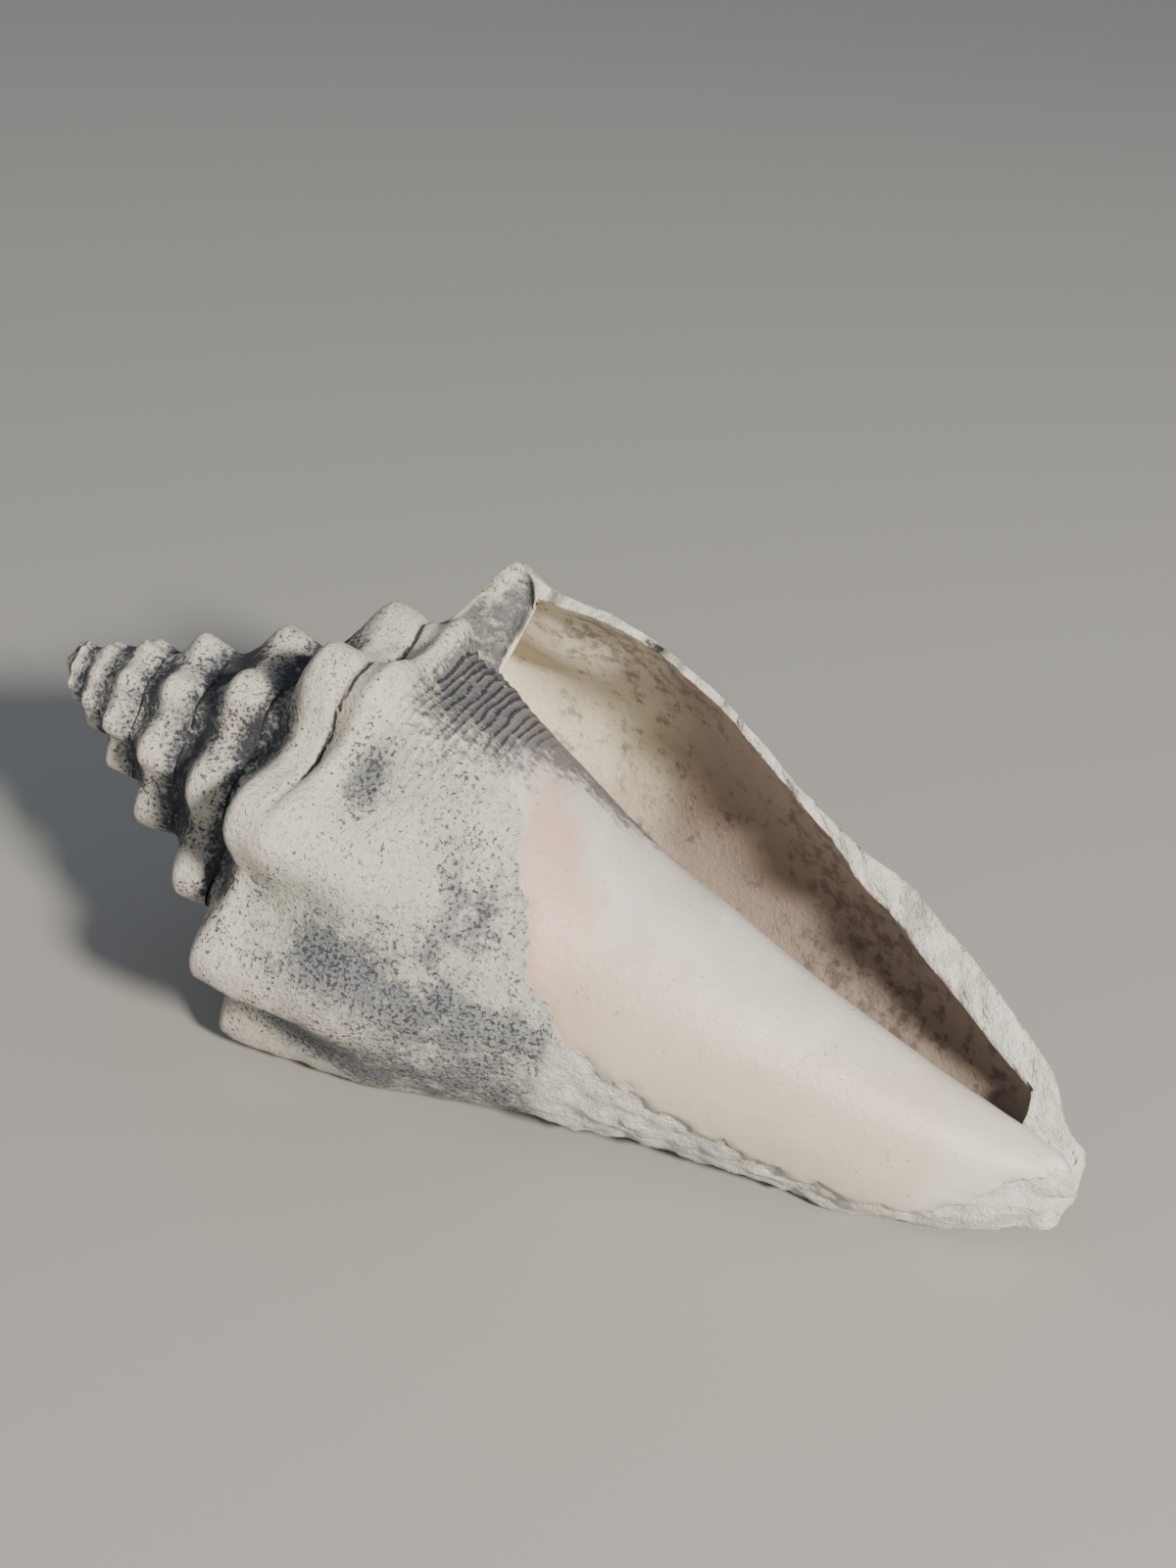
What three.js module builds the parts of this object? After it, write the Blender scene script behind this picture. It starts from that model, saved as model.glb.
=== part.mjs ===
// Weathered shell of a young conch, one closed wall coiled about a straight axis.
// Everything is worked out in the shell's own terms: s runs along the coiling axis from the
// apex to the tip of the siphon canal, r is the distance from that axis, and the growth m
// counts turns, with 0 at the outer lip and negative numbers back towards the apex.
// Lengths are millimetres.
import * as THREE from "three";
import { ParametricGeometry } from "three/addons/geometries/ParametricGeometry.js";
import { mergeGeometries, mergeVertices } from "three/addons/utils/BufferGeometryUtils.js";

// Driving dimensions
const LENGTH = 160; // apex to the tip of the canal
const LIP_RADIUS = 38; // axis to the shoulder at the outer lip
const WIDENING = 1.47; // growth of the radius in one turn
const FIRST_TURN = -6;
const SEAM_DROP = 0.4; // where the next turn joins on, as a share of the pitch below the shoulder
const LIP_ANGLE = THREE.MathUtils.degToRad(85); // where the lip stands, round the axis

// Knobs on the shoulder
const KNOB_SPACING = 0.1225; // turns from one knob to the next
const KNOB_START = -0.739;
const KNOB_HEIGHT = 0.13; // share of the shoulder's radius
const KNOB_LEAN = 0.1; // how far a knob leans towards the apex, for each unit outwards
const HOLLOW_BETWEEN = 0.035; // dip of the side between the ribs below the knobs

// Wall and hollow
const WALL_AT_SHOULDER = 2.4;
const WALL_AT_CANAL = 4.2;
const HOLLOW_DEPTH = 0.9; // turns that the living space reaches back from the lip
const LEAST_GAP = 1.2; // between the wall and the pillar where the hollow runs out
const FASCIOLE_RISE = 2.2; // swelling beside the canal
const RIDGE_RISE = 3.2; // callus ridge that carries the lip's edge on round the front

// Pose on the surface it lies on: it rests on its side, between two knobs and the canal
const AXIS_TILT = THREE.MathUtils.degToRad(13.5);
const ROLL = THREE.MathUtils.degToRad(-34);
const WORN = 1.9; // depth rubbed off where it touches

// Mesh: columns in one turn, rows from seam to seam, and rows from seam to canal
const COLUMNS = 48;
const BAND_ROWS = 8;
const SIDE_ROWS = 18;
const FIRST_HOLLOW_ROW = 1;

// Station of the shoulder at the end of each turn: its pitch widens, then holds.
const SHOULDER_STATIONS = [[-6, 2], [-5, 6], [-4, 11.3], [-3, 19.2], [-2, 30], [-1, 42.6],
  [-0.5, 47], [0, 54.5], [1, 66.5]];

// Radius of the side from the shoulder (0) to the canal's tip (1), as shares of the shoulder's
// radius: at the outer lip, and where the wall has turned in to be the pillar.
const LIP_SIDE = [[0, 1], [0.2, 1.03], [0.38, 0.88], [0.56, 0.73], [0.743, 0.56],
  [0.82, 0.46], [0.914, 0.29], [0.96, 0.18], [1, 0.09]];
const PILLAR_SIDE = [[0, 1], [0.149, 0.98], [0.276, 0.78], [0.42, 0.56], [0.605, 0.35],
  [0.775, 0.215], [0.893, 0.158], [0.964, 0.12], [1, 0.09]];

const { smoothstep, clamp, lerp } = THREE.MathUtils;

// Smooth curve through stations [x, y], by cubic pieces whose slopes come from the neighbours.
function through(stations, x) {
  const last = stations.length - 2;
  let i = 0;
  while (i < last && x > stations[i + 1][0]) i += 1;
  const slope = (k) => {
    const a = stations[Math.max(k - 1, 0)];
    const b = stations[Math.min(k + 1, last + 1)];
    return (b[1] - a[1]) / (b[0] - a[0]);
  };
  const [x0, y0] = stations[i];
  const [x1, y1] = stations[i + 1];
  const width = x1 - x0;
  const t = clamp((x - x0) / width, 0, 1);
  const rise = t * t * (3 - 2 * t);
  return y0 + (y1 - y0) * rise
    + width * t * (1 - t) * ((1 - t) * slope(i) - t * slope(i + 1));
}

function bell(x, centre, halfWidth) {
  const d = clamp(Math.abs(x - centre) / halfWidth, 0, 1);
  return (1 - d * d) ** 2;
}

const shoulderS = (m) => through(SHOULDER_STATIONS, m);
const shoulderR = (m) => LIP_RADIUS * WIDENING ** m;

// Radius of turn m's smooth side at the station s.
function sideRadius(m, s) {
  const q = (s - shoulderS(m)) / (LENGTH - shoulderS(m));
  const turnedIn = clamp(-m, 0, 1) ** 2.5;
  const share = lerp(through(LIP_SIDE, q), through(PILLAR_SIDE, q), turnedIn);
  const fasciole = FASCIOLE_RISE * bell(s, 148, 28) * bell(m, -0.47, 0.3);
  return shoulderR(m) * share + fasciole + ridge(m, s);
}

// Callus ridge that leaves the lip's upper corner and runs round the front.
function ridge(m, s) {
  const along = smoothstep(m, -1, -0.72);
  const height = RIDGE_RISE * smoothstep(m, -1.12, -1) * (1 - along);
  return height * bell(s, lerp(53.3, 50, along), 5);
}

// Station of row v on the side: 0.5 is the shoulder, 1 the seam line, and 2 the canal's tip.
function sideStation(m, v) {
  const start = shoulderS(m);
  const drop = SEAM_DROP * (shoulderS(m + 1) - start);
  if (v <= 1) return start + drop * (2 * v - 1);
  return lerp(start + drop, LENGTH, (v - 1) ** 1.25);
}

// How far turn m's surface stands out at row v in knobs and the ribs below them.
function relief(m, v) {
  const phase = Math.cos((2 * Math.PI * (m - KNOB_START)) / KNOB_SPACING);
  const knob = Math.max(phase + 0.25, 0) ** 1.4 * 0.72;
  const rib = v < 0.5 ? smoothstep(v, 0.12, 0.5) : 1 - smoothstep(v, 0.5, 1.3);
  const early = 1 - 0.7 * smoothstep(m, -0.08, 0);
  const dip = HOLLOW_BETWEEN * (1 - knob) * bell(v, 1.1, 0.4) * early;
  const height = KNOB_HEIGHT * (1 + 0.35 * bell(m, -0.5, 0.35));
  return shoulderR(m) * (height * knob * rib * early - dip);
}

// Outer surface of the wall as [s, r].
function outer(m, v, raised = 1) {
  const out = raised * relief(m, v);
  if (v >= 0.5) {
    const s = sideStation(m, v);
    return [s - KNOB_LEAN * out, sideRadius(m, s) + out];
  }
  const t = 2 * v;
  const [seamS, seamR] = outer(m - 1, 1, raised);
  const sag = 0.1 * Math.sin(Math.PI * t);
  return [
    lerp(seamS, shoulderS(m), t) - KNOB_LEAN * out,
    lerp(seamR, shoulderR(m), t - sag) + out,
  ];
}

const sideRow = (j) => 1 + j / SIDE_ROWS;
const LAST_HOLLOW_ROW = SIDE_ROWS - 1;
const ROWS = BAND_ROWS + SIDE_ROWS;
const rowAt = (i) => (i <= BAND_ROWS ? i / BAND_ROWS : sideRow(i - BAND_ROWS));

// Inside of the wall at growth m, for x from 0 by the seam to 1 by the canal, as [s, r].
function inner(m, x) {
  if (x <= 0) return outer(m - 1, sideRow(FIRST_HOLLOW_ROW));
  if (x >= 1) return outer(m - 1, sideRow(LAST_HOLLOW_ROW));
  const [first] = outer(m - 1, sideRow(FIRST_HOLLOW_ROW));
  const [last] = outer(m - 1, sideRow(LAST_HOLLOW_ROW));
  const v = rowAt(x * ROWS);
  const step = 0.02;
  const [s0, r0] = outer(m, Math.max(v - step, 0), 0.35);
  const [s1, r1] = outer(m, Math.min(v + step, 2), 0.35);
  const [s, r] = outer(m, v, 0.35);
  const run = Math.hypot(s1 - s0, r1 - r0);
  const wall = lerp(WALL_AT_SHOULDER, WALL_AT_CANAL, smoothstep(s, 70, 135));
  const inS = clamp(s + ((r1 - r0) / run) * wall, lerp(first, last, 0.02 * x), last);
  const inR = r - ((s1 - s0) / run) * wall;
  const gap = LEAST_GAP * Math.sin(Math.PI * x);
  return [inS, Math.max(inR, sideRadius(m - 1, inS) + gap)];
}

// Turns the coiling axis from lying along +X to the pose the shell rests in.
const lying = new THREE.Matrix4()
  .makeRotationY(AXIS_TILT)
  .multiply(new THREE.Matrix4().makeRotationX(ROLL));

// A place in space at growth m, turning clockwise as seen from the apex.
function place(target, m, [s, r]) {
  const angle = LIP_ANGLE - 2 * Math.PI * m;
  return target.set(s, -r * Math.cos(angle), r * Math.sin(angle)).applyMatrix4(lying);
}

// Grid of quads whose point at column u and row w (both 0 to 1) is at(target, u, w).
function sheet(columns, rows, at) {
  const made = new ParametricGeometry((u, w, target) => at(target, u, w), columns, rows);
  made.deleteAttribute("normal");
  made.deleteAttribute("uv");
  return made;
}

const band = () => sheet((-1 - FIRST_TURN) * COLUMNS, BAND_ROWS, (target, u, w) => {
  const m = lerp(FIRST_TURN, -1, u);
  return place(target, m, outer(m, w));
});

const bodyWhorl = () => sheet(COLUMNS, ROWS, (target, u, w) => {
  const m = lerp(-1, 0, u);
  return place(target, m, outer(m, rowAt(w * ROWS)));
});

const HOLLOW_COLUMNS = Math.round(COLUMNS * HOLLOW_DEPTH);

// Pillar and the wall of the turn before, as seen inside the mouth.
const pillar = () => sheet(HOLLOW_COLUMNS, LAST_HOLLOW_ROW - FIRST_HOLLOW_ROW, (target, u, w) => {
  const m = lerp(-1 - HOLLOW_COLUMNS / COLUMNS, -1, u);
  return place(target, m, outer(m, sideRow(lerp(FIRST_HOLLOW_ROW, LAST_HOLLOW_ROW, w))));
});

const INNER_ROWS = ROWS - FIRST_HOLLOW_ROW - (SIDE_ROWS - LAST_HOLLOW_ROW);

const lining = () => sheet(HOLLOW_COLUMNS, INNER_ROWS, (target, u, w) => {
  const m = lerp(0, -HOLLOW_COLUMNS / COLUMNS, u);
  return place(target, m, inner(m, w));
});

// Edge of the lip, from the outer surface across the wall to the lining.
const lipEdge = () => sheet(1, ROWS, (target, u, w) => {
  const i = Math.round(w * ROWS);
  if (u < 0.5) return place(target, 0, outer(0, rowAt(i)));
  if (i <= FIRST_HOLLOW_ROW) return place(target, -1, outer(-1, sideRow(i)));
  const k = i - FIRST_HOLLOW_ROW;
  if (k <= INNER_ROWS) return place(target, 0, inner(0, k / INNER_ROWS));
  return place(target, -1, outer(-1, sideRow(LAST_HOLLOW_ROW + k - INNER_ROWS)));
});

// Far end of the hollow, closed across from the lining to the pillar.
const hollowEnd = () => sheet(1, INNER_ROWS, (target, u, w) => {
  const m = -HOLLOW_COLUMNS / COLUMNS;
  if (u < 0.5) return place(target, m, inner(m, w));
  const row = FIRST_HOLLOW_ROW + Math.round(w * (LAST_HOLLOW_ROW - FIRST_HOLLOW_ROW));
  return place(target, m, outer(m - 1, sideRow(row)));
});

// Cap over one turn of a spiral edge and the step that closes it.
function cap(m0, v0, stepAt, steps, centreS) {
  return sheet(COLUMNS + steps, 1, (target, u, w) => {
    const i = Math.round(u * (COLUMNS + steps));
    if (w > 0.5) return place(target, m0, [centreS, 0]);
    if (i <= COLUMNS) return place(target, m0 + i / COLUMNS, outer(m0 + i / COLUMNS, v0));
    return stepAt(target, (i - COLUMNS) / steps);
  });
}

const apexCap = () => cap(FIRST_TURN, 0, (target, t) =>
  place(target, FIRST_TURN, outer(FIRST_TURN, 1 - t)), BAND_ROWS, 0.3);
const canalCap = () => cap(-1, 2, (target) => place(target, -1, outer(-1, 2)), 1, LENGTH + 0.4);

// Turns each face of a sheet over.
function flipped(geometry) {
  const index = geometry.index.array;
  for (let i = 0; i < index.length; i += 3) [index[i], index[i + 1]] = [index[i + 1], index[i]];
  return geometry;
}

// Joins sheets along their shared edges into one closed skin, without collapsed triangles.
function closed(sheets) {
  const skin = mergeVertices(mergeGeometries(sheets), 1e-3);
  const index = skin.index.array;
  const kept = [];
  for (let i = 0; i < index.length; i += 3) {
    const [a, b, c] = [index[i], index[i + 1], index[i + 2]];
    if (a !== b && b !== c && c !== a) kept.push(a, b, c);
  }
  skin.setIndex(kept);
  return skin;
}

const bone = new THREE.MeshStandardMaterial({ color: 0xd8d0c6, roughness: 0.6, metalness: 0 });

// Sets the skin down on the ground, rubbed flat where it touches, over the origin.
function settled(skin) {
  const spot = skin.attributes.position;
  skin.computeBoundingBox();
  const { min, max } = skin.boundingBox;
  for (let i = 0; i < spot.count; i += 1) {
    spot.setX(i, spot.getX(i) - (min.x + max.x) / 2);
    spot.setY(i, spot.getY(i) - (min.y + max.y) / 2);
    spot.setZ(i, Math.max(spot.getZ(i) - min.z - WORN, 0));
  }
  skin.computeVertexNormals();
  return skin;
}

const shell = new THREE.Mesh(
  settled(closed([band(), bodyWhorl(), pillar(), lining(), lipEdge(), hollowEnd(),
    flipped(apexCap()), canalCap()])),
  bone,
);
shell.name = "shell";

const conch = new THREE.Group();
conch.add(shell);

export default conch;
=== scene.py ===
import math

import bmesh
import bpy
import numpy as np
from mathutils import Euler, Matrix, Vector, noise


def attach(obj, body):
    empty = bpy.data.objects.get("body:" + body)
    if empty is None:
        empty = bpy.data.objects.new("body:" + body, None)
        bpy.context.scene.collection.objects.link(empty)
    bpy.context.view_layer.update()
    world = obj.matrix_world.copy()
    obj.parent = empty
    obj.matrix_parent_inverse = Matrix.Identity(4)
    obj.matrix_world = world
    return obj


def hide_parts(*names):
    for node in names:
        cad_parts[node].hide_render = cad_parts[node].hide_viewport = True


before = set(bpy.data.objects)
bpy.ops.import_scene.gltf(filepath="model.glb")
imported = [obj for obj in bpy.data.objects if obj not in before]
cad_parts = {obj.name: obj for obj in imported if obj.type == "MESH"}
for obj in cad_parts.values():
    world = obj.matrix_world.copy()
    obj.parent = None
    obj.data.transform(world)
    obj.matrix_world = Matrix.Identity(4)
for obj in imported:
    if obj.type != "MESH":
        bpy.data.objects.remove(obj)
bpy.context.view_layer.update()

# Coil
LENGTH = 160.0
LIP_RADIUS = 38.0
WIDENING = 1.47  # growth of the radius in one turn
FIRST_TURN = -6
SEAM_DROP = 0.4  # where the next turn joins on, as a share of the pitch
LIP_ANGLE = math.radians(85)
SHOULDER_STATIONS = [(-6, 2), (-5, 6), (-4, 11.3), (-3, 19.2), (-2, 30), (-1, 42.6),
                     (-0.5, 47), (0, 54.5), (1, 66.5)]
LIP_SIDE = [(0, 1), (0.2, 1.03), (0.38, 0.88), (0.56, 0.73), (0.743, 0.56),
            (0.82, 0.46), (0.914, 0.29), (0.96, 0.19), (1, 0.125)]
PILLAR_SIDE = [(0, 1), (0.149, 0.98), (0.276, 0.78), (0.42, 0.56), (0.605, 0.35),
               (0.775, 0.215), (0.893, 0.158), (0.964, 0.135), (1, 0.125)]
TURNING_IN = 2.5  # how late in a turn the side draws in to the pillar
FASCIOLE_RISE = 3.0  # swelling beside the canal
FASCIOLE_STATION = (144, 34)  # its middle and half length along the axis
FASCIOLE_TURN = (-0.44, 0.26)  # its middle and half length round the axis

# Pose on the floor
AXIS_TILT = math.radians(13.5)
ROLL = math.radians(-34)
APEX = (-78.285, -3.183, 46.335)

# Knobs, ribs, ridge, crack and cords. A line gives its station at each turn past the inner lip
KNOB_SPACING = 0.1225
KNOB_START = -0.739
KNOB_HEIGHT = 0.135  # share of the shoulder's radius
KNOB_WIDTH = 0.29  # share of the spacing
KNOB_WANDER = 0.05  # share of the spacing
KNOB_UNEVENNESS = 0.15
KNOB_LEAN = 0.3  # towards the apex, for each unit outwards
RIB_HEIGHT = 0.5  # share of its knob's height
HOLLOW_BETWEEN = 0.06  # dip between the ribs, share of the shoulder's radius
RAMP_ROUNDING = 0.8  # 0 for a straight ramp from the seam to the shoulder, 1 for a smooth step
RAMP_SAG = 0.05  # share of the ramp's climb
RIDGE_RISE = 3.3
RIDGE_WIDTHS = (1.7, 2.6)  # above its crest and below
RIDGE_LINE = [(-0.05, 51.6), (0, 51.4), (0.12, 51.8), (0.17, 51.2), (0.22, 49.9), (0.28, 49.6)]
CRACK_LINE = [(0, 47.4), (0.12, 47.8), (0.16, 48.2), (0.213, 47.9), (0.25, 48.8)]
CRACK_DEPTH = 1.3
CRACK_WIDTH = 0.5
CORD_PITCH = 1.3
CORD_DEPTH = 0.13
CORD_DEEPENING = 0.3  # added on the patch by the mouth

# Edge of the glazed callus: turns past the inner lip at each station along the axis
GLAZE_EDGE = [(58, 0.0), (62, 0.05), (66, 0.1), (72, 0.142), (79, 0.21), (86, 0.288),
              (94, 0.339), (103, 0.362), (112, 0.392), (121, 0.412), (130, 0.424),
              (144, 0.424), (150, 0.35), (155, 0.24), (160, 0.12)]
GLAZE_THICKNESS = 0.45
GLAZE_THICKENING = 0.5  # added towards the canal

# Lip: flare of the outer face and thickness of its broken edge, at stations along the axis
LIP_FLARE = [(50, 0.0), (52.5, 1.2), (54.6, 2.7), (57, 1.8), (61, 1.0), (66, 1.0), (80, 1.3),
             (92, 2.0), (102, 0.9), (115, 0.4), (123, 1.6), (132, 1.0), (143, 1.1), (151, 1.8),
             (156, 1.0), (160, 1.4)]
LIP_WALL = [(50, 6.5), (54, 4.8), (58, 1.8), (66, 1.0), (73, 0.9), (81, 1.0), (98, 1.2),
            (108, 1.6), (114, 2.4), (120, 4.2), (138, 5.0), (150, 4.0), (156, 2.0), (160, 1.5)]
FLARE_TURNS = 0.16  # over which the lip flares and the mouth's corner opens
LIP_BITES = [(59.5, 1.6, 0.011), (76, 2.4, 0.008), (121, 3, 0.010)]  # station, width, turns deep
MOUTH_CORNER = 58.6

# Lining: thickness of the wall behind the lip, and how it follows the outside
INNER_WALL = [(50, 2.4), (70, 2.2), (110, 2.6), (135, 3.8), (160, 3.0)]
LINING_SMOOTHING = 0.6  # how much of the knobs and cords it leaves out
LEAST_GAP = 1.0  # between lining and pillar where the hollow runs out

# Stains on the last turn: strength, turn and half width round it, station and half width
STAIN_PATCHES = [(1.2, 0.41, 0.17, 70, 38), (0.9, 0.25, 0.07, 76, 9),
                 (0.9, 0.2, 0.05, 55, 5), (0.5, 0.33, 0.04, 62, 9)]

# Mesh
COLUMNS = 192
BAND_ROWS = 20
SIDE_ROWS = 110
FIRST_HOLLOW_ROW = 6
LAST_HOLLOW_ROW = 104
HOLLOW_COLUMNS = 150
RIM_COLUMNS = 6
CAP_RINGS = 5
ROW_CROWDING = 1.6  # draws the rows towards the shoulder
SLOPE_STEP = 0.03  # row positions to each side, when the surface's slope is measured
MERGE_DISTANCE = 2e-6  # metres
SHORTEST_EDGE = 1e-6  # metres
MILLIMETRE = 0.001  # metres
ROWS = BAND_ROWS + SIDE_ROWS
INNER_ROWS = ROWS - FIRST_HOLLOW_ROW - (SIDE_ROWS - LAST_HOLLOW_ROW)

# Colours of the outer face
BLEACHED_GREY = (0.47, 0.475, 0.40)
BLEACHED_CREAM = (0.57, 0.555, 0.48)
# Rubbed pale wear and painted light on the knobs, ribs and crests
RUBBED_AND_LIT_CREAM = (0.61, 0.56, 0.485)
BLUE_STAIN = (0.14, 0.148, 0.168)
GREY_VEIL = (0.25, 0.26, 0.26)
GREY_DIRT = (0.09, 0.092, 0.11)
# Near black for dark dirt and painted shade on the ramps and by the seams
RECESS_DIRT_AND_SHADE = (0.034, 0.036, 0.043)
GROOVE_DARK = (0.024, 0.025, 0.033)
PIT_DIRT = (0.04, 0.043, 0.055)
# Near black for painted shade in the crack, along the seams and deep in the hollow, and for dark
# spots on the broken edge
SHADE_AND_SPOT_DARK = (0.020, 0.019, 0.020)
CHALK_SHADE = (0.64, 0.625, 0.555)
CHALK_WHITE = (0.78, 0.765, 0.72)

# Colours of the callus and the lining
GLAZE_SHADE = (0.55, 0.515, 0.455)
GLAZE_WHITE = (0.64, 0.61, 0.565)
ROSE = (0.56, 0.385, 0.30)
PEACH = (0.50, 0.395, 0.29)
FLECK = (0.10, 0.09, 0.09)
LINING_CREAM = (0.78, 0.71, 0.57)
LINING_TAUPE = (0.42, 0.335, 0.28)
LINING_TAN = (0.50, 0.33, 0.17)
LINING_SPOT = (0.085, 0.068, 0.062)

# Floor, light and camera, in metres and degrees
FLOOR_SIZE = 4.0
FLOOR_COLOUR = (0.36, 0.355, 0.335)
FLOOR_ROUGHNESS = 0.7
KEY_AT = (0.81, -0.64, 0.63)
KEY_AIM = (0.0, 0.0, 0.03)
KEY_SIZE = 0.16
KEY_POWER = 30.0
KEY_COLOUR = (1.0, 0.93, 0.82)
SOFT_COLOUR = (0.80, 0.86, 0.95, 1.0)
SOFT_STRENGTH = 0.38
CAMERA_LENS = 52.0
CAMERA_SENSOR = 36.0
CAMERA_RANGE = (0.01, 20.0)
CAMERA_AT = (0.09382, -0.25040, 0.19960)
CAMERA_TURN = (60.222, -4.729, 22.716)


def lerp(a, b, t):
    return a + (b - a) * t


def rise(x, low, high):
    """Smooth step from 0 at low to 1 at high."""
    t = np.clip((x - low) / (high - low), 0, 1)
    return t * t * (3 - 2 * t)


def bell(x, centre, half_width):
    """1 at the centre, falling smoothly to 0 at half_width from it."""
    d = np.clip(np.abs(x - centre) / half_width, 0, 1)
    return (1 - d * d) ** 2


def hump(x, width):
    """1 at x = 0, dying away on both sides."""
    return np.exp(-((x / width) ** 2))


def through(stations, x):
    """Smooth curve through stations (x, y), held level beyond the ends."""
    xs, ys = np.array(stations, float).T
    slope = np.empty_like(ys)
    slope[1:-1] = (ys[2:] - ys[:-2]) / (xs[2:] - xs[:-2])
    slope[0] = (ys[1] - ys[0]) / (xs[1] - xs[0])
    slope[-1] = (ys[-1] - ys[-2]) / (xs[-1] - xs[-2])
    i = np.clip(np.searchsorted(xs, x, side="left") - 1, 0, len(xs) - 2)
    width = xs[i + 1] - xs[i]
    t = np.clip((x - xs[i]) / width, 0, 1)
    curved = width * t * (1 - t) * ((1 - t) * slope[i] - t * slope[i + 1])
    return ys[i] + (ys[i + 1] - ys[i]) * t * t * (3 - 2 * t) + curved


def shoulder_s(m):
    return through(SHOULDER_STATIONS, m)


def shoulder_r(m):
    return LIP_RADIUS * WIDENING ** m


def seam_s(m):
    """Station of the seam that the next turn makes on turn m."""
    return shoulder_s(m) + SEAM_DROP * (shoulder_s(m + 1) - shoulder_s(m))


def plain_side(m, s):
    """Radius below the shoulder, before knobs, ridge, cords and callus."""
    q = (s - shoulder_s(m)) / (LENGTH - shoulder_s(m))
    turned_in = np.clip(-m, 0, 1) ** TURNING_IN
    share = lerp(through(LIP_SIDE, q), through(PILLAR_SIDE, q), turned_in)
    fasciole = FASCIOLE_RISE * bell(s, *FASCIOLE_STATION) * bell(m, *FASCIOLE_TURN)
    flare = through(LIP_FLARE, s) * rise(m, -FLARE_TURNS, 0)
    return shoulder_r(m) * share + fasciole + flare


def knobs(m, p):
    """Knobs and their ribs, p being the way down from the shoulder in shares of its radius."""
    phase = (m - KNOB_START) / KNOB_SPACING
    which = np.round(phase)
    wander = KNOB_WANDER * np.sin(which * 2.3)
    across = phase - which + wander * (1 - 4 * (phase - which) ** 2)
    height = KNOB_HEIGHT * (1 + KNOB_UNEVENNESS * np.sin(which * 4.1))
    height = height * (1 + 0.35 * bell(m, -0.7, 0.55))
    height = height * (1 - 0.75 * rise(m, -0.07, 0)) * (1 + 0.45 * bell(m, -0.11, 0.06))
    height = height * lerp(0.3, 1.0, rise(m, -5.5, -3.2))
    cross = np.exp(-(np.abs(across) / KNOB_WIDTH) ** 2.6)
    lump = np.exp(-(np.abs(p - 0.01) / np.where(p < 0.01, 0.2, 0.22)) ** 2.3)
    rib = RIB_HEIGHT * hump(p - 0.3, 0.5) * rise(p, 0, 0.3)
    dip = HOLLOW_BETWEEN * (1 - cross) * hump(p - 0.08, 0.38)
    dip = dip * (1 - 0.8 * rise(m, -0.08, 0))
    return shoulder_r(m) * (height * cross * (lump + rib) - dip)


def below_shoulder(m, s):
    """Way down from the shoulder in shares of its radius."""
    return (s - shoulder_s(m)) / shoulder_r(m)


def crossings(m, s):
    """Distances below the ridge's crest and below the crack, on the last turn."""
    t = m + 1
    ragged = 0.25 * np.sin(t * 83) + 0.1 * np.sin(t * 260 + 1)
    return s - through(RIDGE_LINE, t), s - through(CRACK_LINE, t) + ragged


def ridge_and_crack(m, s):
    """Height of the callus ridge, less the depth of the crack beside it."""
    t = m + 1
    from_ridge, from_crack = crossings(m, s)
    ridge = RIDGE_RISE * rise(t, -0.12, 0)
    ridge = ridge * (1 - 0.85 * rise(t, 0.1, 0.3)) * (1 - rise(t, 0.28, 0.34))
    crest = ridge * hump(from_ridge, np.where(from_ridge < 0, *RIDGE_WIDTHS))
    crack = CRACK_DEPTH * rise(t, -0.01, 0.02) * (1 - rise(t, 0.235, 0.26))
    return crest - crack * hump(from_crack, CRACK_WIDTH)


def cord_share(m, s):
    """How strongly the spiral cords show."""
    t = m + 1
    shown = rise(s, 53, 54.5) * (1 - rise(s, 66 - 20 * t, 76 - 22 * t))
    return shown * (1 - rise(t, 0.18, 0.27)) * rise(t, -0.12, -0.05)


def cord_phase(m, s):
    """Cords counted down from the ridge, wavering and unequal."""
    t = m + 1
    from_ridge, _ = crossings(m, s)
    waver = 0.3 * np.sin(t * 31) + 0.2 * np.sin(from_ridge * 1.1 + t * 9)
    waver = waver + 0.12 * np.sin(t * 97 + s)
    return (from_ridge + waver) / CORD_PITCH


def cords(m, s):
    """Height of the fine spiral cords."""
    t = m + 1
    wave = np.sin(2 * np.pi * cord_phase(m, s))
    deep = CORD_DEPTH + CORD_DEEPENING * (1 - rise(t, 0.03, 0.14)) * (1 - rise(s, 61, 65))
    return deep * cord_share(m, s) * (np.clip(wave + 0.55, 0, 2) ** 0.7 - 1)


def from_glaze_edge(m, s, r):
    """Distance inside the callus, negative outside it."""
    t = m + 1
    ragged = 0.006 * np.sin(s * 0.9) + 0.004 * np.sin(s * 2.3 + 1) + 0.0025 * np.sin(s * 5.1)
    return (through(GLAZE_EDGE, s) + ragged - t) * 2 * np.pi * r


def glaze_step(m, s, plain):
    """Thickness of the callus, with its edge a small step."""
    thick = GLAZE_THICKNESS + GLAZE_THICKENING * rise(s, 90, 104)
    edge = rise(from_glaze_edge(m, s, plain), -0.3, 1.3)
    return thick * edge * rise(s, 66, 76) * (1 - rise(m, -0.52, -0.42))


def side(m, s):
    """Radius of the finished surface of turn m below its shoulder."""
    plain = plain_side(m, s)
    made = plain + knobs(m, below_shoulder(m, s)) + ridge_and_crack(m, s) + cords(m, s)
    return made + glaze_step(m, s, plain)


def row_at(index):
    """Row number to v: 0 at the seam above, 0.5 the shoulder, 1 the seam below, 2 the tip."""
    return np.where(index <= BAND_ROWS, index / BAND_ROWS, 1 + (index - BAND_ROWS) / SIDE_ROWS)


def side_station(m, v):
    """Station of row position v, from the shoulder down."""
    below = np.clip(v - 1, 0, 1) ** ROW_CROWDING
    upper = lerp(shoulder_s(m), seam_s(m), np.clip(2 * v - 1, 0, 1))
    return lerp(upper, LENGTH, below)


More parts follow.
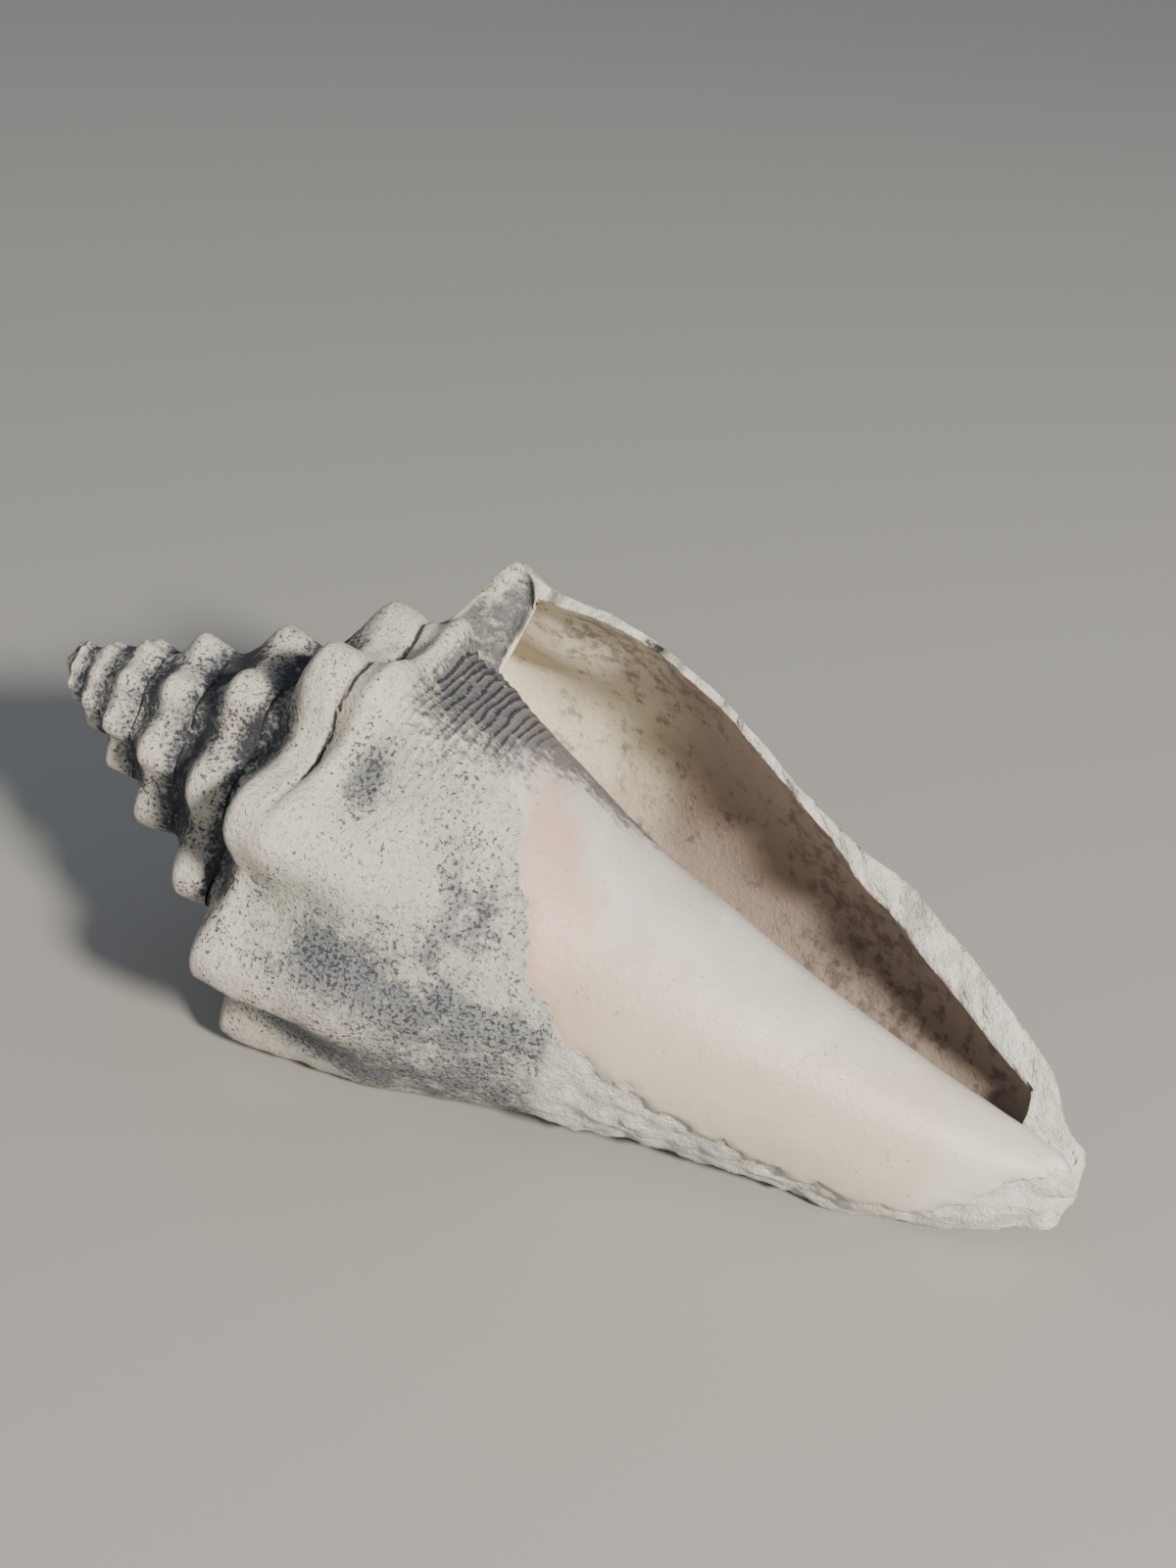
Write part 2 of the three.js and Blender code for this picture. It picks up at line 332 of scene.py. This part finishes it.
def outer(m, v):
    """Outer surface as (s, r), with a rounded shoulder and knobs that lean towards the apex."""
    s_side = side_station(m, np.maximum(v, 0.5))
    r_side = side(m, s_side)
    t = np.clip(2 * v, 0, 1)
    start, stop = seam_s(m - 1), shoulder_s(m)
    r_start = side(m - 1, start)
    crown = side(m, stop) - knobs(m, 0 * m)
    p_ramp = (t - 1) * np.hypot(stop - start, crown - r_start) / shoulder_r(m)
    climb = lerp(t, t * t * (3 - 2 * t), RAMP_ROUNDING) - RAMP_SAG * np.sin(np.pi * t)
    r_ramp = lerp(r_start, crown, climb) + knobs(m, p_ramp) * rise(t, 0, 0.3)
    on_ramp = v < 0.5
    p = np.where(on_ramp, p_ramp, below_shoulder(m, s_side))
    lean = KNOB_LEAN * np.maximum(knobs(m, p), 0) * rise(v, 0, 0.2)
    lean = lean * (1 - rise(p, 0.05, 0.35))
    s = np.where(on_ramp, lerp(start, stop, t), s_side) - lean
    return s, np.where(on_ramp, r_ramp, r_side)


def wall(m, s):
    """Thickness of the wall, which turns into the lip's own at its edge."""
    return lerp(through(INNER_WALL, s), through(LIP_WALL, s), rise(m, -0.07, -0.005))


def inner(m, x):
    """Lining of turn m as (s, r), x running from 0 by the seam to 1 by the canal."""
    first, r_first = outer(m - 1, 1 + FIRST_HOLLOW_ROW / SIDE_ROWS + 0 * x)
    last, r_last = outer(m - 1, 1 + LAST_HOLLOW_ROW / SIDE_ROWS + 0 * x)
    v = row_at(x * ROWS)
    s, r = outer(m, v)
    plain = np.where(v < 0.5, r, lerp(r, plain_side(m, s), LINING_SMOOTHING))
    s0, r0 = outer(m, np.clip(v - SLOPE_STEP, 0, 2))
    s1, r1 = outer(m, np.clip(v + SLOPE_STEP, 0, 2))
    run = np.hypot(s1 - s0, r1 - r0) + 1e-9
    thick = wall(m, s)
    in_s = np.clip(s + (r1 - r0) / run * thick, lerp(first, last, 0.02 * x), last)
    in_r = plain - (s1 - s0) / run * thick
    gap = LEAST_GAP * np.sin(np.pi * x)
    in_s = np.maximum(in_s, lerp(first, MOUTH_CORNER, rise(m, -FLARE_TURNS, 0)))
    in_r = np.maximum(in_r, side(m - 1, in_s) + gap)
    at_start, at_end = x <= 0, x >= 1
    in_s = np.where(at_start, first, np.where(at_end, last, in_s))
    return in_s, np.where(at_start, r_first, np.where(at_end, r_last, in_r))


def chipped(m, s):
    """Shift of the lip's broken edge in turns: bites and steps in its last few millimetres."""
    near = rise(m, -0.045, 0) * rise(s, 54, 58) * (1 - rise(s, 150, 157))
    bites = -sum(depth * hump(s - station, width) for station, width, depth in LIP_BITES)
    steps = 0.004 * np.sin(s * 0.55) + 0.0025 * np.sin(s * 1.7) + 0.0015 * np.sin(s * 4.3)
    return near * (bites + steps * rise(s, 60, 90))


def broken_tip(m, s):
    """Length missing from the canal's tip."""
    teeth = 1.3 + 1.3 * np.sin(6 * np.pi * m + 0.6) + 0.7 * np.sin(14 * np.pi * m)
    return np.maximum(teeth, 0) * rise(s, 150, 160)


POSE = Matrix.Rotation(AXIS_TILT, 3, "Y") @ Matrix.Rotation(ROLL, 3, "X")
ALONG_AXIS = np.array(POSE @ Vector((1, 0, 0)))
LIP_FORWARD = np.array(POSE @ Vector((0, -math.sin(LIP_ANGLE), -math.cos(LIP_ANGLE))))


def place(m, s, r):
    """Points in millimetres, lying on the floor."""
    angle = LIP_ANGLE - 2 * np.pi * (m + chipped(m, s))
    s = s - broken_tip(m, s) * (r > 0)
    points = np.stack([s + 0 * r, -r * np.cos(angle), r * np.sin(angle)], -1)
    return points @ np.array(POSE).T + np.array(APEX)


def grain(points, size, octaves):
    """Fractal noise at each point, about -1 to 1."""
    return np.array([noise.fractal(Vector(p) / size, 1.0, 2.0, octaves) for p in points])


def roughened(m, s, r, rough):
    """Adds worn unevenness to r, strongest where rough is 1."""
    points = place(m, s, r)
    coarse = grain(points, 8.0, 2) * (0.32 + 0.6 * rough)
    fine = grain(points, 2.6, 3) * (0.16 + 0.7 * rough)
    return r + coarse + fine


def rough_share(m, s, r):
    """1 on the chalky band beside the canal and on the broken tip."""
    d = from_glaze_edge(m, s, r)
    band = (1 - rise(d, -1.2, 0.2)) * rise(s, 86, 98) * (1 - rise(m, -0.42, -0.3))
    return np.clip(band * rise(m, -1, -0.98) + rise(s, 152, 158) * (1 - rise(d, -1, 1)), 0, 1)


# Paint: how much of each finish a point takes, 0 to 1. Only "cord" counts the cords from the ridge
PAINTS = ("glaze", "rose", "peach", "grey", "stain", "pale", "recess_dirt_and_shade", "chalk", "inside",
          "taupe", "tan", "speck", "cord", "cords", "dark")


def worn_and_lit_knobs(m, s):
    """Knobs and the ribs below them, rubbed pale and given painted light, and the bays between the
    knobs.
    """
    phase = (m - KNOB_START) / KNOB_SPACING
    across = phase - np.round(phase)
    down = below_shoulder(m, s)
    on_knob = hump(across, 0.27) * hump(down - 0.02, 0.22)
    on_rib = hump(across, 0.25) * hump(down - 0.5, 0.5)
    return on_knob, on_rib, 1 - hump(across, 0.3)


def ramp_dirt_and_shade(m, v, last, between):
    """Dark dirt and painted shade on the ramp above the shoulder and by the seams."""
    dirt = 1 - rise(v, 0.2, 0.42 + 0.12 * between) + rise(v, 0.72, 0.98) * (1 - last)
    dirt = dirt * (0.55 + 0.55 * bell(m, -1.4, 1.6)) + 0.45 * last * between * bell(v, 0.36, 0.3)
    return dirt + 0.5 * between * (1 - last) * rise(m, -3.6, -2.4)


def inner_lip_dirt(t, s):
    """Grey beside the mouth, narrowing towards the canal."""
    reach = lerp(0.2, 0.08, np.clip((s - 58) / 37, 0, 1))
    return (1 - rise(t, 0.03, reach)) * rise(s, 52, 54) * (1 - rise(s, 84, 106))


def stain_patches(t, s):
    """Blue-grey stains on the last turn."""
    return sum(
        strength * bell(t, turn, turn_half) * bell(s, station, station_half)
        for strength, turn, turn_half, station, station_half in STAIN_PATCHES
    )


def outer_paint(m, v, s, r):
    t = m + 1
    last = rise(m, -1.02, -1.0)
    d = from_glaze_edge(m, s, r)
    glazed = rise(d, -0.4, 0.8) * rise(s, 60, 70) * (1 - rise(m, -0.5, -0.44))
    on_knob, on_rib, between = worn_and_lit_knobs(m, s)
    on_rib = on_rib * last
    crest = hump(below_shoulder(m, s), 0.12) * 0.6
    from_ridge, from_crack = crossings(m, s)
    ridge = last * hump(from_ridge, 2.6) * (1 - rise(t, 0.2, 0.3))
    crack = rise(t, -0.01, 0.02) * (1 - rise(t, 0.2, 0.25)) * hump(from_crack, 0.42) * last
    ramp = ramp_dirt_and_shade(m, v, last, between)
    inner_lip = inner_lip_dirt(t, s) * last
    patches = stain_patches(t, s)
    spire = 1 - rise(m, -1.3, -1.0)
    return {
        "glaze": glazed,
        "rose": glazed * bell(d, 6, 14) * bell(s, 84, 17),
        "peach": glazed * bell(d, 7, 15) * rise(s, 84, 97) * (1 - rise(s, 134, 150)),
        "grey": inner_lip * (1 - 0.8 * ridge) + 0.55 * last * bell(t, 0.09, 0.12) * bell(s, 64, 14),
        # The stain takes in half of the ramp's dirt and painted shade
        "stain": np.clip(0.3 + 0.7 * patches * last + 0.35 * spire + 0.5 * ramp, 0, 1),
        # Pale: rubbed wear on knobs and ribs, and painted light along the shoulder's crest and the
        # ridge
        "pale": np.clip(on_knob + 0.75 * on_rib + crest + ridge, 0, 1),
        # Dark dirt and painted shade on the ramps and by the seams
        "recess_dirt_and_shade": np.clip(ramp * (1 - 0.75 * on_knob), 0, 1),
        "chalk": rough_share(m, s, r),
        "cord": cord_phase(m, s),
        "cords": cord_share(m, s) * last * (1 - 0.7 * rise(t, 0.07, 0.2)),
        # Dark: painted shade in the crack and along the seam above each turn
        "dark": np.clip(crack + 0.9 * hump(v, 0.05) * (v < 0.5), 0, 1),
    }


def lining_paint(m, s):
    deep = -m
    by_canal = 0.4 * bell(s, 118, 26)
    by_corner = 0.4 * bell(s, 74, 14) * bell(deep, 0, 0.2)
    return {
        "inside": np.ones_like(s),
        "taupe": rise(s - 40 * deep, 66, 92),
        "tan": bell(s, 74, 12) * rise(deep, 0.1, 0.25),
        "speck": np.clip(0.5 + by_canal + by_corner, 0, 1),
        # Painted shade deeper in the hollow
        "dark": rise(deep, 0.3, 0.6) * 0.4,
    }


class Skin:
    """Collects sheets of quads in one mesh, with the paint of each point."""

    def __init__(self):
        self.bm = bmesh.new()
        self.layers = {name: self.bm.verts.layers.float.new(name) for name in PAINTS}

    def sheet(self, columns, rows, at):
        """Adds a grid whose points at (u, w), both 0 to 1, are at(u, w) = (points, paint)."""
        made = bmesh.ops.create_grid(self.bm, x_segments=columns, y_segments=rows, size=1.0)
        verts = made["verts"]
        spot = np.array([v.co[:2] for v in verts]) * 0.5 + 0.5
        u = np.round(spot[:, 0] * columns) / columns
        w = np.round(spot[:, 1] * rows) / rows
        points, paint = at(u, w)
        points[:, 2] = np.maximum(points[:, 2], 0.0)  # rubbed flat on the floor
        for v, p in zip(verts, points * MILLIMETRE):
            v.co = p
        for name, values in paint.items():
            layer = self.layers[name]
            for v, value in zip(verts, values):
                v[layer] = value

    def finish(self, name):
        """Joins the sheets in one closed surface and makes it a piece."""
        bm = self.bm
        bmesh.ops.remove_doubles(bm, verts=bm.verts, dist=MERGE_DISTANCE)
        bmesh.ops.dissolve_degenerate(bm, edges=bm.edges, dist=SHORTEST_EDGE)
        bmesh.ops.recalc_face_normals(bm, faces=bm.faces)
        for face in bm.faces:
            face.smooth = True
        mesh = bpy.data.meshes.new(name)
        bm.to_mesh(mesh)
        bm.free()
        made = bpy.data.objects.new(name, mesh)
        bpy.context.scene.collection.objects.link(made)
        return made


def outer_at(m, v):
    """Points and paint of the outer surface."""
    s, r = outer(m, v)
    paint = outer_paint(m, v, s, r)
    rough = paint["chalk"] * 0.8 + 0.25 * paint["recess_dirt_and_shade"] * (1 - paint["glaze"])
    calm = 1 - 0.75 * paint["glaze"]
    return place(m, s, lerp(r, roughened(m, s, r, rough), calm)), paint


def band(u, w):
    """The spire's turns, from seam to seam."""
    return outer_at(lerp(float(FIRST_TURN), -1.0, u), w)


def body(u, w):
    """The last turn, from the seam to the canal's tip."""
    return outer_at(lerp(-1.0, 0.0, u), row_at(w * ROWS))


def pillar(u, w):
    """The turn before, where it faces the hollow."""
    m = lerp(-1 - HOLLOW_COLUMNS / COLUMNS, -1.0, u)
    return outer_at(m, 1 + lerp(FIRST_HOLLOW_ROW, LAST_HOLLOW_ROW, w) / SIDE_ROWS)


def lining_at(m, x):
    """Points and paint of the lining, meeting the pillar at both ends."""
    s, r = inner(m, x)
    ends = np.minimum(rise(x, 0, 0.03), 1 - rise(x, 0.97, 1))
    shared = (x <= 0) | (x >= 1)
    points = place(m, s, r + 0.12 * grain(place(m, s, r), 6.0, 2) * ends)
    edge_row = np.where(x <= 0, FIRST_HOLLOW_ROW, LAST_HOLLOW_ROW)
    edge_points, _ = outer_at(m - 1, 1 + edge_row / SIDE_ROWS)
    return np.where(shared[:, None], edge_points, points), lining_paint(m, s)


def lining(u, w):
    """Inside of the last turn, from the lip to the end of the hollow."""
    return lining_at(lerp(0.0, -HOLLOW_COLUMNS / COLUMNS, u), w)


def rim_sides(i):
    """Points on both sides of the lip's edge at row i: the outer face, and what it breaks back to."""
    zero = 0.0 * i
    near, _ = outer_at(zero, row_at(i))
    lined, _ = lining_at(zero, np.clip((i - FIRST_HOLLOW_ROW) / INNER_ROWS, 0, 1))
    above = i <= FIRST_HOLLOW_ROW
    below = i >= FIRST_HOLLOW_ROW + INNER_ROWS
    pillar_row = np.where(above, i, i - ROWS + SIDE_ROWS)
    pillared, _ = outer_at(zero - 1, 1 + pillar_row / SIDE_ROWS)
    return near, np.where((above | below)[:, None], pillared, lined)


def rim_relief(points, s, u, width):
    """How far the broken edge stands forward of a clean cut."""
    waver = 0.3 * np.sin(s * 2.6 + 3 * u + 2 * np.sin(s * 0.37))
    ribs = waver + 0.7 * grain(points, 2.0, 3) + 0.7 * grain(points, 5.0, 2)
    broken = rise(s, 60, 64) * (0.25 + 0.75 * rise(s, 88, 120)) * ribs
    channel = -0.28 * np.minimum(width, 8) * (1 - rise(s, 54, 60))
    return (broken + channel) * np.sin(np.pi * u) * rise(width, 0.2, 1.5)


def rim_paint(u, s):
    """Chalky along the lip, grey in the channel of the spine."""
    chalky = rise(s, 56, 60)
    return {
        "chalk": chalky,
        "grey": 0.85 * (1 - chalky) * rise(u, 0.05, 0.3),
        "pale": 0.8 * (1 - chalky) * (1 - rise(u, 0.1, 0.35)),
        "dark": 0.75 * hump(s - 77, 2.2) + 0.2 * hump(s - 70, 3),
    }


def rim(u, w):
    """Broken edge of the lip, across the wall."""
    i = np.round(w * ROWS)
    near, far = rim_sides(i)
    s, _ = outer(0.0 * i, row_at(i))
    points = lerp(near, far, u[:, None])
    ahead = rim_relief(points, s, u, np.linalg.norm(far - near, axis=1))
    return points + ahead[:, None] * LIP_FORWARD, rim_paint(u, s)


def hollow_end(u, w):
    """Closes the hollow where it runs out."""
    m = -HOLLOW_COLUMNS / COLUMNS + 0 * w
    lined, paint = lining_at(m, w)
    row = FIRST_HOLLOW_ROW + np.round(w * (LAST_HOLLOW_ROW - FIRST_HOLLOW_ROW))
    pillared, _ = outer_at(m - 1, 1 + row / SIDE_ROWS)
    return np.where(u[:, None] < 0.5, lined, pillared), paint


def cap(start, v, centre_s, step_rows, step_at):
    """Closes one turn of a spiral edge, and the step between its ends, towards the axis."""
    columns = COLUMNS + step_rows

    def at(u, w):
        i = np.round(u * columns)
        turn = start + np.minimum(i, COLUMNS) / COLUMNS
        edge, _ = outer_at(turn, v + 0 * u)
        stepped = step_at(np.clip((i - COLUMNS) / step_rows, 0, 1))
        edge = np.where((i > COLUMNS)[:, None], stepped, edge)
        middle = place(turn, centre_s + 0 * u, 0 * u)
        points = lerp(edge, middle, w[:, None])
        crumbled = 1.6 * grain(points, 3.0, 3) * np.sin(np.pi * w * 0.98)
        half = 0.5 + 0 * u
        paint = {"chalk": (v > 1) + 0 * u, "stain": half, "pale": half}
        return points + crumbled[:, None] * ALONG_AXIS, paint

    return columns, CAP_RINGS, at


def apex_step(t):
    """Across the band's first edge at the apex."""
    return outer_at(float(FIRST_TURN) + 0 * t, 1 - t)[0]


def tip_step(t):
    """Across the end of the rim at the canal's tip."""
    out, _ = outer_at(0 * t, 2 + 0 * t)
    back, _ = outer_at(0 * t - 1, 2 + 0 * t)
    return lerp(out, back, t[:, None])


def make_shell():
    skin = Skin()
    skin.sheet((-1 - FIRST_TURN) * COLUMNS, BAND_ROWS, band)
    skin.sheet(COLUMNS, ROWS, body)
    skin.sheet(HOLLOW_COLUMNS, LAST_HOLLOW_ROW - FIRST_HOLLOW_ROW, pillar)
    skin.sheet(HOLLOW_COLUMNS, INNER_ROWS, lining)
    skin.sheet(RIM_COLUMNS, ROWS, rim)
    skin.sheet(1, INNER_ROWS, hollow_end)
    skin.sheet(*cap(float(FIRST_TURN), 0.0, 0.5, BAND_ROWS, apex_step))
    skin.sheet(*cap(-1.0, 2.0, LENGTH + 0.8, RIM_COLUMNS, tip_step))
    return skin.finish("shell")


class Wire:
    """One shader value, which takes part in sums like a number."""

    def __init__(self, graph, socket):
        self.graph, self.socket = graph, socket

    def math(self, operation, *others):
        inputs = dict(enumerate((self, *others)))
        return self.graph.add("ShaderNodeMath", {"operation": operation}, inputs)

    def __add__(self, other):
        return self.math("ADD", other)

    def __sub__(self, other):
        return self.math("SUBTRACT", other)

    def __mul__(self, other):
        return self.math("MULTIPLY", other)

    def __rsub__(self, other):
        return self * -1.0 + other

    __radd__ = __add__
    __rmul__ = __mul__

    def clamp(self):
        return self.math("MAXIMUM", 0.0).math("MINIMUM", 1.0)

    def step(self, low, high):
        """Smooth step from 0 at low to 1 at high."""
        settings = {"interpolation_type": "SMOOTHSTEP"}
        inputs = {"Value": self, "From Min": low, "From Max": high}
        return self.graph.add("ShaderNodeMapRange", settings, inputs)


class Graph:
    """Builds a material's nodes."""

    def __init__(self, material):
        material.use_nodes = True
        self.tree = material.node_tree
        self.tree.nodes.clear()

    def add(self, kind, settings=None, inputs=None, output=0):
        node = self.tree.nodes.new(kind)
        for name, value in (settings or {}).items():
            setattr(node, name, value)
        for name, value in (inputs or {}).items():
            if isinstance(value, Wire):
                self.tree.links.new(value.socket, node.inputs[name])
            else:
                node.inputs[name].default_value = value
        return Wire(self, node.outputs[output] if node.outputs else None)

    def paint(self, name):
        return self.add("ShaderNodeAttribute", {"attribute_name": name}, output="Fac")

    def noise(self, where, size, detail=4.0, roughness=0.55):
        """Noise from 0 to 1 whose lumps are about size metres across."""
        inputs = {"Vector": where, "Scale": 1.0 / size, "Detail": detail, "Roughness": roughness}
        return self.add("ShaderNodeTexNoise", inputs=inputs)

    def mix(self, share, a, b):
        a, b = (c if isinstance(c, Wire) else (*c, 1.0) for c in (a, b))
        inputs = {0: share, 6: a, 7: b}
        return self.add("ShaderNodeMix", {"data_type": "RGBA"}, inputs, output=2)


def outside_colour(g, where):
    """Bleached, stained and pitted outer face, with painted shade in its recesses and painted light
    on its knobs.
    """
    cloud = g.noise(where, 0.0075, 6.0, 0.7)
    fine = g.noise(where, 0.0011, 4.0, 0.7)
    specks = g.noise(where, 0.00055, 2.5, 0.6)
    stain, pale, recess_dirt_and_shade = g.paint("stain"), g.paint("pale"), g.paint("recess_dirt_and_shade")
    base = g.mix(g.noise(where, 0.013).step(0.4, 0.62), BLEACHED_GREY, BLEACHED_CREAM)
    # Blue-grey stain, heavier where the ramp's dirt and painted shade add to the stain mask
    blue = (cloud * 2.2 + fine * 1.2 + stain * 0.75 - pale * 0.2).step(1.95, 2.5)
    colour = g.mix((blue * (0.25 + stain)).clamp() * 0.85, base, BLUE_STAIN)
    veil = (g.noise(where, 0.016, 5.0, 0.65) * 1.4 + fine * 0.9 + stain * 0.25).step(1.15, 1.6)
    colour = g.mix(veil * 0.3, colour, GREY_VEIL)
    # Rubbed pale wear and painted light on the knobs and crests
    rubbed = (pale * 1.1 + (cloud - 0.5) * 1.2).step(0.2, 0.95)
    colour = g.mix(rubbed * 0.8, colour, RUBBED_AND_LIT_CREAM)
    # Dark dirt and painted shade in the ramps' recesses and by the seams
    shade = (recess_dirt_and_shade * 1.25 + (fine - 0.5) * 3.4 + (cloud - 0.5) * 2.2).step(0.3, 1.5)
    colour = g.mix(shade * 0.9, colour, RECESS_DIRT_AND_SHADE)
    dots = specks + stain * 0.08 + recess_dirt_and_shade * 0.06 - pale * 0.03 + (cloud - 0.5) * 0.4
    return g.mix(dots.step(0.60, 0.69) * 0.85, colour, PIT_DIRT)


def glaze_colour(g, where):
    """Smooth callus, white with rose and peach and small dark flecks."""
    cloud = g.noise(where, 0.012, 4.0)
    base = g.mix(cloud.step(0.35, 0.7), GLAZE_SHADE, GLAZE_WHITE)
    rose = (g.paint("rose") * 1.3 + (cloud - 0.5) * 1.4).step(0.1, 0.95)
    colour = g.mix(rose * 0.85, base, ROSE)
    peach = (g.paint("peach") * 1.3 + (cloud - 0.5) * 1.0).step(0.1, 0.95)
    colour = g.mix(peach * 0.7, colour, PEACH)
    fleck = (g.noise(where, 0.0009, 2.0, 0.6) + (cloud - 0.5) * 0.35).step(0.715, 0.76)
    return g.mix(fleck * 0.6, colour, FLECK)


def lining_colour(g, where):
    """Inside of the outer wall, cream above and taupe towards the canal."""
    cloud = g.noise(where, 0.014, 5.0)
    taupe = (g.paint("taupe") * 1.1 + (cloud - 0.5) * 0.9).step(0.05, 0.9)
    colour = g.mix(taupe, LINING_CREAM, LINING_TAUPE)
    tan = (g.paint("tan") + (cloud - 0.5) * 0.8).step(0.25, 0.9)
    colour = g.mix(tan * 0.65, colour, LINING_TAN)
    soft = g.noise(where, 0.0024, 4.0, 0.7)
    spots = (soft * 1.7 + cloud * 0.7 + g.paint("speck") * 0.34).step(1.40, 1.75)
    return g.mix(spots * 0.6, colour, LINING_SPOT)


def grooved(g, colour, cord, streak, fine):
    """Darker colour in the grooves between the spiral cords."""
    grooves = (cord * -1.0 + (fine - 0.5) * 3.0 + (streak - 0.5) * 2.0).step(0.2, 1.2)
    grooves = grooves * g.paint("cords")
    return g.mix((grooves * (0.25 + g.paint("grey") * 1.3)).clamp() * 0.9, colour, GROOVE_DARK)


def surface_height(g, where, fine, cord, slick, chalky, inside):
    """Pits, cords and grit for the bump, least on the callus and the lining."""
    coarse = (1.0 - slick * 0.92) * (1.0 - inside * 0.85)
    pits = g.noise(where, 0.0007, 2.0, 0.6).step(0.6, 0.7) * -0.25
    height = (pits + (fine - 0.5) * 0.7) * coarse + cord * g.paint("cords") * 0.16
    return height + (fine - 0.5) * (chalky * 0.7 + 0.12)


def shell_material():
    material = bpy.data.materials.new("shell wall")
    g = Graph(material)
    where = g.add("ShaderNodeTexCoord", output="Object")
    fine = g.noise(where, 0.0011, 5.0, 0.7)
    glaze, chalk, inside = g.paint("glaze"), g.paint("chalk"), g.paint("inside")
    smooth = (glaze + (g.noise(where, 0.003) - 0.5) * 0.5 * (1.0 - glaze)).step(0.3, 0.75)
    colour = g.mix(smooth, outside_colour(g, where), glaze_colour(g, where))
    along = g.add("ShaderNodeVectorMath", {"operation": "MULTIPLY"}, {0: where, 1: (0.4, 1.0, 1.0)})
    streak = g.noise(along, 0.0021, 5.0, 0.7)
    grey = (g.paint("grey") * 1.25 + (streak - 0.5) * 2.4 + (fine - 0.5) * 2.2).step(0.3, 1.2)
    colour = g.mix(grey * 0.85, colour, GREY_DIRT)
    colour = g.mix(inside.step(0.4, 0.6), colour, lining_colour(g, where))
    chalky = (chalk + (fine - 0.5) * 0.9).step(0.35, 0.65)
    dusty = g.mix(g.noise(where, 0.004).step(0.4, 0.65), CHALK_SHADE, CHALK_WHITE)
    colour = g.mix(chalky, colour, dusty)
    cord = (g.paint("cord") * (2 * math.pi)).math("SINE")
    colour = grooved(g, colour, cord, streak, fine)
    # Painted shade in the crack, along the seams and deep in the hollow, and dark spots on the broken
    # edge
    dark = (g.paint("dark") * 1.2 + (fine - 0.5) * 1.2).step(0.3, 0.9)
    colour = g.mix(dark * 0.92, colour, SHADE_AND_SPOT_DARK)
    slick = smooth * (1.0 - chalky)
    rough = 0.8 - slick * 0.42 - inside * 0.2 + (fine - 0.5) * 0.1
    height = surface_height(g, where, fine, cord, slick, chalky, inside)
    normal = g.add("ShaderNodeBump", inputs={"Height": height, "Distance": 0.0009, "Strength": 0.9})
    inputs = {"Base Color": colour, "Roughness": rough, "Normal": normal, "Specular IOR Level": 0.4}
    shader = g.add("ShaderNodeBsdfPrincipled", inputs=inputs)
    g.add("ShaderNodeOutputMaterial", inputs={"Surface": shader})
    return material


def plain_material(name, colour, roughness):
    material = bpy.data.materials.new(name)
    g = Graph(material)
    inputs = {"Base Color": (*colour, 1.0), "Roughness": roughness}
    shader = g.add("ShaderNodeBsdfPrincipled", inputs=inputs)
    g.add("ShaderNodeOutputMaterial", inputs={"Surface": shader})
    return material


def make_floor():
    bm = bmesh.new()
    bmesh.ops.create_grid(bm, x_segments=1, y_segments=1, size=FLOOR_SIZE)
    mesh = bpy.data.meshes.new("floor")
    bm.to_mesh(mesh)
    bm.free()
    made = bpy.data.objects.new("floor", mesh)
    bpy.context.scene.collection.objects.link(made)
    made.data.materials.append(plain_material("pale floor", FLOOR_COLOUR, FLOOR_ROUGHNESS))
    return made


def make_key_light():
    data = bpy.data.lights.new("key", "AREA")
    data.shape = "DISK"
    data.size = KEY_SIZE
    data.energy = KEY_POWER
    data.color = KEY_COLOUR
    made = bpy.data.objects.new("key", data)
    bpy.context.scene.collection.objects.link(made)
    made.location = KEY_AT
    made.rotation_euler = (Vector(KEY_AT) - Vector(KEY_AIM)).to_track_quat("Z", "Y").to_euler()


def make_soft_light():
    world = bpy.data.worlds.new("soft light")
    world.use_nodes = True
    background = world.node_tree.nodes["Background"]
    background.inputs["Color"].default_value = SOFT_COLOUR
    background.inputs["Strength"].default_value = SOFT_STRENGTH
    bpy.context.scene.world = world


def make_camera():
    data = bpy.data.cameras.new("camera")
    data.lens = CAMERA_LENS
    data.sensor_width = CAMERA_SENSOR
    data.clip_start, data.clip_end = CAMERA_RANGE
    made = bpy.data.objects.new("camera", data)
    bpy.context.scene.collection.objects.link(made)
    made.location = CAMERA_AT
    made.rotation_euler = Euler([math.radians(a) for a in CAMERA_TURN])
    bpy.context.scene.camera = made


shell = make_shell()
shell.data.materials.append(shell_material())
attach(shell, "root")
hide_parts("shell")
make_floor()
make_key_light()
make_soft_light()
make_camera()
